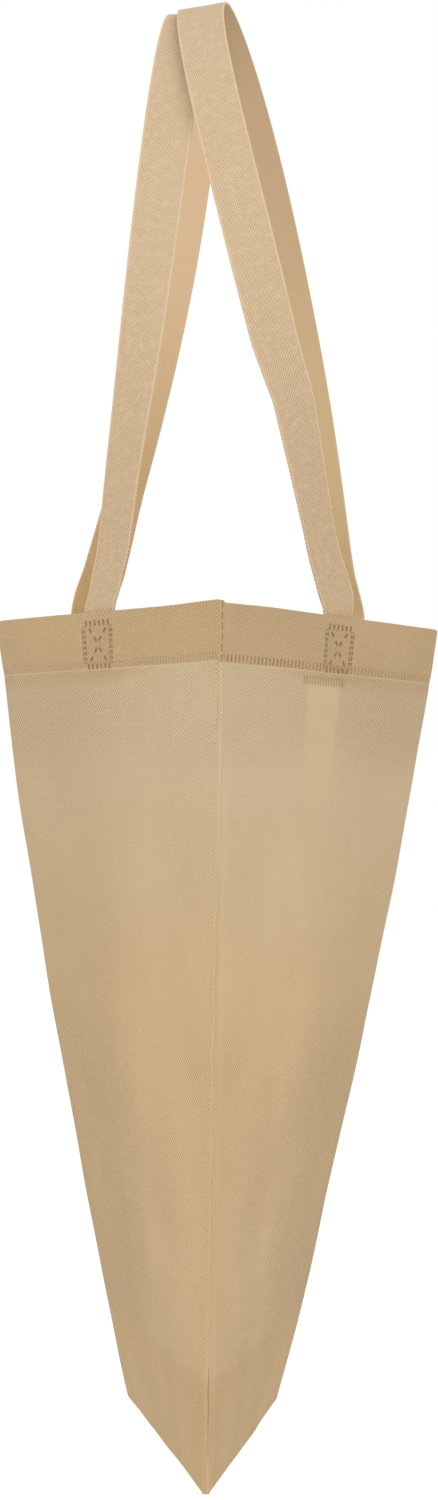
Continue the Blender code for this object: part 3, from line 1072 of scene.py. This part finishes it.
@dataclass
class WebbingHandle:
    """One webbing handle, welded inside the hem at both ends and hanging in a loop.

    Places along the loop go from 1 at the right foot to -1 at the left one.
    """

    face: Face
    rise: float
    crown_y: float
    bow: float
    twist_height: float
    squareness: float
    tilt: float
    skew: float
    width: float = 0.025
    thickness: float = 0.0012
    insert: float = 0.027
    flex: float = 0.035
    right_turn: float = 0.20
    left_turn: float = 0.20
    turn_heights: Limits = (0.012, 0.052)
    right_lean: float = 0.0
    lean_heights: Limits = (0.012, 0.085)
    fold_shift: float = 0.0
    fold_heights: tuple[float, float, float] = (0.050, 0.110, 0.140)
    fold_turn: float = 30.0
    columns: int = 12
    loop_rows: int = 300
    end_rows: int = 10
    even_share: float = 0.45

    def foot(self, side: int, along: float = 0.0, drop: float | Array = 0.0) -> Array:
        """Return points of the webbing where it leaves the hem or lies inside it.

        Args:
            side: 1 for the right leg and -1 for the left one.
            along: the distance from the leg's centre line.
            drop: the distance below the rim, or an array of them.

        Returns:
            A point a row.
        """
        depth = 2 * (FORM.cloth + FORM.clearance) + self.thickness / 2
        height = FORM.height - np.atleast_1d(drop)
        return FORM.place(side * FORM.leg_offset + along, height, depth, self.face)

    def foot_edge(self, side: int, drop: float | Array = 0.0) -> Array:
        """Return the unit directions across the webbing at points of a foot, towards +y."""
        line = unit(self.foot(side, self.width / 2, drop) - self.foot(side, -self.width / 2, drop))
        return line * np.sign(line[:, 1:2])

    def share(self, place: Array) -> Array:
        """Return how much of the loop's rise the webbing has reached at places along it."""
        return np.cos(math.pi / 2 * np.minimum(np.abs(place), 1.0))

    def old_fold(self, place: Array) -> Array:
        """Return how far the mark of an old fold pushes the right leg towards +y at its places."""
        mark = np.interp(self.rise * self.share(place), self.fold_heights, (0.0, 1.0, 0.0))
        return self.fold_shift * mark * (place > 0)

    def above_rim(self, place: Array, start: float, end: float) -> Array:
        """Return shares that go from 0 at the rim to 1 at a start height and 0 from an end height."""
        height = self.rise * self.share(place)
        return smooth(height / start) * (1 - smooth((height - start) / (end - start)))

    def centre(self, place: Array) -> Array:
        """Return the middle of the webbing.

        Args:
            place: places along the loop.

        Returns:
            A point a row.
        """
        is_right = place > 0
        share = self.share(place)
        height = self.rise * share
        right_x, left_x = self.foot(1)[0, 0], self.foot(-1)[0, 0]
        own, below = (np.where(is_right[:, None], self.foot(1, 0.0, drop), self.foot(-1, 0.0, drop))
                      for drop in (0.0, FORM.hem))
        out = (right_x - left_x) / 2 * np.sqrt(np.maximum(0.0, 1 - share ** self.squareness))
        out = np.where(is_right, out, -out)
        crown = self.crown_y - FORM.origin[1]
        y = part_way(own[:, 1], crown, share) + self.bow * share * (1 - share) - self.skew * share * out
        change = (own[:, 1] - below[:, 1]) / FORM.hem - (crown - own[:, 1] + self.bow) / self.rise
        y = y + change * height * np.clip(1 - height / self.flex, 0.0, 1.0) ** 2 + self.old_fold(place)
        y = y + self.right_lean * self.above_rim(place, *self.lean_heights) * is_right
        return np.stack([(right_x + left_x) / 2 * (1 - share) + out, y, own[:, 2] + height], axis=-1)

    def edges(self, place: Array) -> Array:
        """Return the unit direction across the webbing, towards +y.

        Args:
            place: places along the loop.

        Returns:
            A direction a row.
        """
        is_right = place > 0
        share = self.share(place)
        before, after = (self.centre(np.clip(place + step, -1.0, 1.0)) for step in (0.01, -0.01))
        tangent = unit(after - before)
        foot = np.where(is_right[:, None], self.foot_edge(1), self.foot_edge(-1))
        crown = np.stack([0 * share, 1 + 0 * share, self.tilt * share], axis=-1)
        crown = unit(crown - tangent * (crown * tangent).sum(axis=-1, keepdims=True))
        turn = np.where(is_right, self.right_turn, self.left_turn)
        twist = smooth(self.rise * share / self.twist_height) - self.fold_turn * self.old_fold(place)
        twist = twist + turn * self.above_rim(place, *self.turn_heights)
        return unit(part_way(foot, crown, twist[:, None]))

    def stations(self) -> tuple[Array, Array]:
        """Return the webbing from its right end to its left one.

        Returns:
            Its middle and its edge direction, one a row.
        """
        steps = np.linspace(1, -1, self.loop_rows + 1)
        place = part_way(np.sin(math.pi / 2 * steps), steps, self.even_share)
        drops = np.linspace(self.insert, self.insert / self.end_rows, self.end_rows)
        middles = [self.foot(1, 0.0, drops), self.centre(place), self.foot(-1, 0.0, drops[::-1])]
        edges = [self.foot_edge(1, drops), self.edges(place), self.foot_edge(-1, drops[::-1])]
        return np.concatenate(middles), np.concatenate(edges)

    def build(self) -> Piece:
        """Model the webbing from end to end.

        Returns:
            The finished piece.
        """
        label = self.face.name.lower()
        body = f"{label}_handle"
        middles, edges = self.stations()
        lengths = lengths_along(middles)
        length = float(lengths[-1])
        piece, across, up = new_grid(f"{label}_webbing", self.columns, len(middles) - 1)
        row = np.rint(up * (len(middles) - 1)).astype(int)
        points = middles[row] + edges[row] * (across[:, None] - 0.5) * self.width
        weave = WovenWebbing()
        # the inner face takes its own tones of painted shade
        inner_painted_light_tones = weave.front_inner_shade if self.face is Face.FRONT else weave.back_inner_shade
        outer = weave.make(f"{label}_webbing_outer", weave.outer, length, weave.outer_depth)
        inner = weave.make(f"{label}_webbing_inner", inner_painted_light_tones, length, weave.inner_depth)
        make_sheet(piece, points, (across * self.width, lengths[row]), [outer, inner],
                   self.thickness, (0.0, 0.0, 1.0))
        modify(piece, "BEVEL", 40, width=0.0003, segments=2, limit_method="ANGLE",
               angle_limit=math.radians(60))
        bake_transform(piece)
        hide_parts(body, *(f"{body}_{side}_{part}" for side in ("right", "left")
                                   for part in ("end", "bend")))
        log.info("%s: %.3f m of webbing", piece.name, length)
        return piece


@dataclass
class Studio:
    """The pale room: floor, soft lights and the camera at the photograph's place."""

    floor_drop: float = 0.55
    world_strength: float = 0.80
    lamp_size: float = 1.8
    lamp_target: Place = (0.0, 0.02, -0.40)
    lens: float = 59.5
    pitch: float = 0.0247
    roll: float = 0.0189
    turn: float = 0.0127
    eye: Place = (1.3199, 0.0037, -0.4214)

    def build(self) -> None:
        """Add the floor, the world, the lights and the camera."""
        self.add_floor()
        self.add_world()
        for lamp in (("key_light", (1.7, -1.5, 0.5), 12.7), ("fill_light", (1.9, 1.5, 0.1), 10.0),
                     ("back_light", (-1.9, 0.3, 0.9), 9.0)):
            self.add_lamp(*lamp)
        self.add_camera()
        bpy.context.scene.view_settings.view_transform = "Standard"

    def add_floor(self) -> None:
        """Add a floor below the hanging bag that is pale to the light and white to the camera."""
        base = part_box("front_panel")[0].z
        bpy.ops.mesh.primitive_plane_add(size=40.0, location=(0.0, 0.0, base - self.floor_drop))
        floor = bpy.context.object
        floor.name = "studio_floor"
        material = bpy.data.materials.new("studio_floor")
        material.use_nodes = True
        tree = material.node_tree
        shader = tree.nodes["Principled BSDF"]
        fill(shader, {"Base Color": (0.86, 0.86, 0.86), "Roughness": 0.9})
        glow = add_node(tree, "Emission", {"Strength": 1.15})
        rays = add_node(tree, "LightPath").outputs
        share = Wire(rays["Is Camera Ray"]) * 0.85
        mix = add_node(tree, "MixShader", {0: share, 1: shader.outputs[0], 2: glow.outputs[0]})
        fill(tree.nodes["Material Output"], {"Surface": mix.outputs[0]})
        floor.data.materials.append(material)

    def add_world(self) -> None:
        """Make the room white to the camera, and give it its share of the light."""
        world = bpy.data.worlds.new("studio")
        bpy.context.scene.world = world
        world.use_nodes = True
        tree = world.node_tree
        rays = add_node(tree, "LightPath").outputs
        seen = Wire(rays["Is Camera Ray"]).most(Wire(rays["Is Glossy Ray"]))
        seen = seen.most(Wire(rays["Is Transmission Ray"]))
        strength = seen * (1.0 - self.world_strength) + self.world_strength
        fill(tree.nodes["Background"], {"Color": (1.0, 1.0, 1.0), "Strength": strength})

    def add_lamp(self, name: str, place: Place, power: float) -> None:
        """Add one large soft light that points at the bag.

        Args:
            name: the lamp's name.
            place: where it stands.
            power: its power in watts.
        """
        lamp = bpy.data.lights.new(name, "AREA")
        lamp.size = self.lamp_size
        lamp.energy = power
        holder = bpy.data.objects.new(name, lamp)
        holder.location = place
        towards = Vector(self.lamp_target) - holder.location
        holder.rotation_euler = towards.to_track_quat("-Z", "Y").to_euler()
        bpy.context.scene.collection.objects.link(holder)

    def add_camera(self) -> None:
        """Add the camera where the photograph was taken from."""
        camera = bpy.data.cameras.new("camera")
        camera.lens = self.lens
        camera.sensor_width = 36.0
        camera.clip_start = 0.01
        holder = bpy.data.objects.new("camera", camera)
        bpy.context.scene.collection.objects.link(holder)
        heading = Matrix.Rotation(math.pi / 2 - self.turn, 4, "Z")
        tilt = Matrix.Rotation(math.pi / 2 + self.pitch, 4, "X") @ Matrix.Rotation(self.roll, 4, "Z")
        holder.matrix_world = Matrix.Translation(self.eye) @ heading @ tilt
        bpy.context.scene.camera = holder


def main() -> None:
    """Build the bag's pieces in order and report each one."""
    logging.basicConfig(level=logging.INFO, format="%(name)s: %(message)s")
    builders = [
        WebbingHandle(Face.FRONT, rise=0.3262, crown_y=-0.0185, bow=0.020, twist_height=0.290,
                      squareness=2.6, tilt=0.091, skew=0.182, right_turn=0.04, left_turn=0.42,
                      turn_heights=(0.025, 0.085), right_lean=0.0018),
        WebbingHandle(Face.BACK, rise=0.3298, crown_y=-0.0124, bow=0.0145, twist_height=0.213,
                      squareness=3.7, tilt=0.195, skew=0.261, fold_shift=0.0023),
        WallCloth(Face.FRONT),
        WallCloth(Face.BACK),
        GussetCloth(),
        SideSeam(Side.RIGHT),
        SideSeam(Side.LEFT),
        InnerTape(),
    ]
    for builder in builders:
        piece = builder.build()
        log.info("%s: %d faces", piece.name, len(piece.data.polygons))
    Studio().build()


if __name__ == "__main__":
    main()
